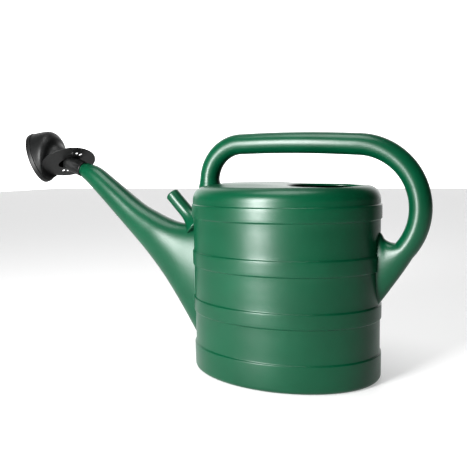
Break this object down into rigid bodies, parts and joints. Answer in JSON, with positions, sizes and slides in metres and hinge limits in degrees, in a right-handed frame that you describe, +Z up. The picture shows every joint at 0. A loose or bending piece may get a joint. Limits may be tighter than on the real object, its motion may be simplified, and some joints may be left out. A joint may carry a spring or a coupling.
{
  "type": "watering can",
  "caption": "Oval ten-litre plastic watering can with a hooped body, long spout, arched grip, rear filler opening, parking peg and a push-on turning rose.",
  "frame": {"origin": "middle of the oval base, on the ground plane", "axes": "+Z up; -X towards the spout, +X towards the rear leg of the grip; +Y across the can"},
  "size_m": [0.6588, 0.1956, 0.3557],
  "materials": {
    "body_green": "satin high-density polyethylene, deep green, fine moulded grain",
    "rose_black": "satin black polypropylene"
  },
  "bodies": {
    "can": {"base_pan": "body_green", "reservoir_wall": "body_green", "top_deck": "body_green", "spout": "body_green", "spigot": "body_green", "rose_peg": "body_green", "handle": "body_green", "handle_root": "body_green"},
    "sleeve": {"rose_sleeve": "rose_black"},
    "rose": {"rose_flange": "rose_black", "rose_head": "rose_black", "rose_face": "rose_black"}
  },
  "joints": [
    {"name": "rose_pull", "type": "slide", "parent": "can", "child": "sleeve", "axis": [-0.9336, 0, 0.3584], "range_m": [0, 0.04]},
    {"name": "rose_twist", "type": "hinge", "parent": "sleeve", "child": "rose", "pos_m": [-0.37911, 0, 0.2993], "axis": [-0.9336, 0, 0.3584], "continuous": true}
  ]
}
